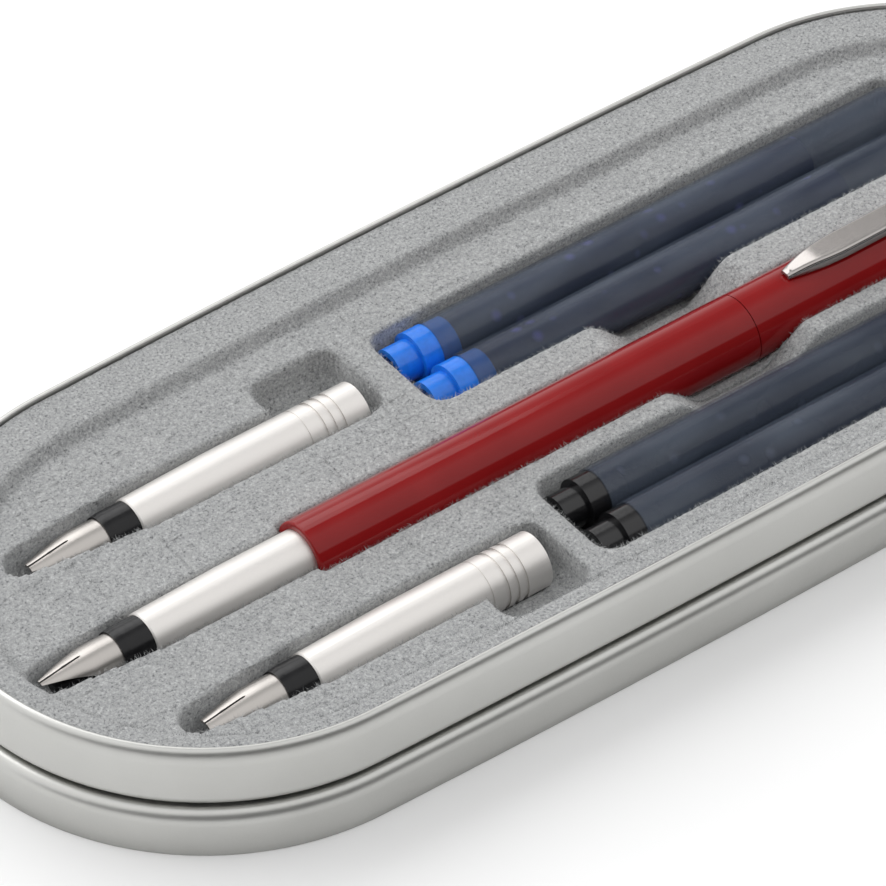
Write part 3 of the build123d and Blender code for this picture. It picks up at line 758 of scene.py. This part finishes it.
def make_tray():
    """Flocked tray: top surface over a grid, and a skirt down beside the tin's wall."""
    x_walls, y_walls = [], []
    for x_low, x_high, axis_y, _, radius in troughs:
        x_walls += [x_low, x_high]
        y_walls += [axis_y - radius, axis_y + radius]
    for x_low, x_high, y_low, y_high, *_ in flats:
        x_walls += [x_low, x_high]
        y_walls += [y_low, y_high]
    x_ends = (tray_low.x - TRAY_PITCH, tray_high.x + TRAY_PITCH)
    y_ends = (tray_low.y - TRAY_PITCH, tray_high.y + TRAY_PITCH)
    xs = split_lines(*x_ends, TRAY_PITCH, sorted(set(x_walls)))
    ys = split_lines(*y_ends, TRAY_PITCH, sorted(set(y_walls)))
    grid_x, grid_y = np.meshgrid(xs, ys, indexing="ij")
    inset = HALF_LENGTH - tray_high.x
    tin = (HALF_LENGTH, HALF_WIDTH, SIDE_BOW)
    depth = stadium_depth(grid_x, grid_y, *tin) - inset
    inner = depth > 0
    cells = inner[:-1, :-1] | inner[1:, :-1] | inner[:-1, 1:] | inner[1:, 1:]
    # Corners just outside the tray are pulled back onto its outline
    step = 0.01 * MM
    slope_x = (stadium_depth(grid_x + step, grid_y, *tin) - inset - depth) / step
    slope_y = (stadium_depth(grid_x, grid_y + step, *tin) - inset - depth) / step
    pull = np.where(depth < 0, -depth, 0)
    grid_x, grid_y = grid_x + pull * slope_x, grid_y + pull * slope_y
    height = tray_height(grid_x, grid_y)
    random = np.random.default_rng(7)
    height += random.normal(0, TRAY_GRAIN, height.shape)
    height = np.minimum(height, tray_high.z)
    number = -np.ones(inner.shape, int)
    used = np.zeros(inner.shape, bool)
    for dx in (0, 1):
        for dy in (0, 1):
            used[dx : dx + cells.shape[0], dy : dy + cells.shape[1]] |= cells
    number[used] = np.arange(used.sum())
    vertices = np.stack([grid_x[used], grid_y[used], height[used]], axis=1)
    i, j = np.nonzero(cells)
    faces = np.stack([number[i, j], number[i + 1, j], number[i + 1, j + 1], number[i, j + 1]], axis=1)
    made = piece("tray_flock", vertices.tolist(), faces.tolist(), "tray", FLOCK, ("tray",), sharp=80)
    make_fibres(grid_x, grid_y, height, inner)
    skirt = bmesh.new()
    skirt.from_mesh(made.data)
    rim = [edge for edge in skirt.edges if edge.is_boundary]
    grown = bmesh.ops.extrude_edge_only(skirt, edges=rim)["geom"]
    for vertex in (item for item in grown if isinstance(item, bmesh.types.BMVert)):
        vertex.co.z = tray_low.z + TRAY_SKIRT_RISE
    bmesh.ops.recalc_face_normals(skirt, faces=skirt.faces)
    skirt.to_mesh(made.data)
    skirt.free()


make_tray()

# ---- Floor, light and camera ----
floor_mesh = bpy.data.meshes.new("floor")
floor_mesh.from_pydata([(-2, -2, 0), (2, -2, 0), (2, 2, 0), (-2, 2, 0)], [], [(0, 1, 2, 3)])
floor = bpy.data.objects.new("floor", floor_mesh)
bpy.context.scene.collection.objects.link(floor)
floor_look = Look("floor_pale", Roughness=0.7)
floor_look.shader.inputs["Specular IOR Level"].default_value = 0.1
floor_tone = floor_look.noise(60 * MM)
floor_stops = ((0.3, (0.93, 0.93, 0.93)), (0.7, (0.95, 0.95, 0.95)))
floor_look.drive("Base Color", floor_look.ramp(floor_tone, *floor_stops))
floor.data.materials.append(floor_look.material)


def softbox(name, place, aim, size, watts):
    """Rectangular area light at place, pointed at aim."""
    light = bpy.data.lights.new(name, "AREA")
    light.shape = "RECTANGLE"
    light.size, light.size_y = size
    light.energy = watts
    made = bpy.data.objects.new(name, light)
    bpy.context.scene.collection.objects.link(made)
    made.location = place
    direction = Vector(aim) - Vector(place)
    made.rotation_mode = "QUATERNION"
    made.rotation_quaternion = direction.to_track_quat("-Z", "Y")


KEY_PLACE = (-0.1, 0.9, 1.0)
KEY_SIZE = (1.6, 1.0)
KEY_WATTS = 10.5
softbox("softbox_above", KEY_PLACE, (0, 0, 0), KEY_SIZE, KEY_WATTS)

# A pale dome that reaches the far horizon, ends above the near one and is dimmer high up on the far side
DOME_LEAN = (0.14, 0.56, 0.81)
DOME_STOPS = ((0.0, 0.08), (0.07, 1.12), (0.74, 1.12), (0.92, 0.42))
world = bpy.data.worlds.new("studio")
bpy.context.scene.world = world
world.use_nodes = True
sky = world.node_tree.nodes["Background"]
direction = world.node_tree.nodes.new("ShaderNodeTexCoord")
lean = world.node_tree.nodes.new("ShaderNodeVectorMath")
lean.operation = "DOT_PRODUCT"
lean.inputs[1].default_value = DOME_LEAN
shade = world.node_tree.nodes.new("ShaderNodeValToRGB")
world.node_tree.links.new(direction.outputs["Generated"], lean.inputs[0])
world.node_tree.links.new(lean.outputs["Value"], shade.inputs["Fac"])
world.node_tree.links.new(shade.outputs["Color"], sky.inputs["Color"])
dome = shade.color_ramp.elements
while len(dome) < len(DOME_STOPS):
    dome.new(0.5)
for element, (position, grey) in zip(dome, DOME_STOPS):
    element.position, element.color = position, (grey, grey, grey, 1)

camera = bpy.data.objects.new("camera", bpy.data.cameras.new("camera"))
bpy.context.scene.collection.objects.link(camera)
bpy.context.scene.camera = camera
camera.data.lens = CAMERA_LENS
camera.data.sensor_width = 36
azimuth, elevation = radians(CAMERA_AZIMUTH), radians(CAMERA_ELEVATION)
back = Vector((sin(azimuth) * cos(elevation), -cos(azimuth) * cos(elevation), sin(elevation)))
camera.location = Vector((*CAMERA_TARGET, base_high.z)) + back * CAMERA_DISTANCE
camera.rotation_mode = "QUATERNION"
camera.rotation_quaternion = (-back).to_track_quat("-Z", "Y")
camera.data.clip_start, camera.data.clip_end = 0.05, 20
bpy.context.scene.view_settings.view_transform = "Standard"
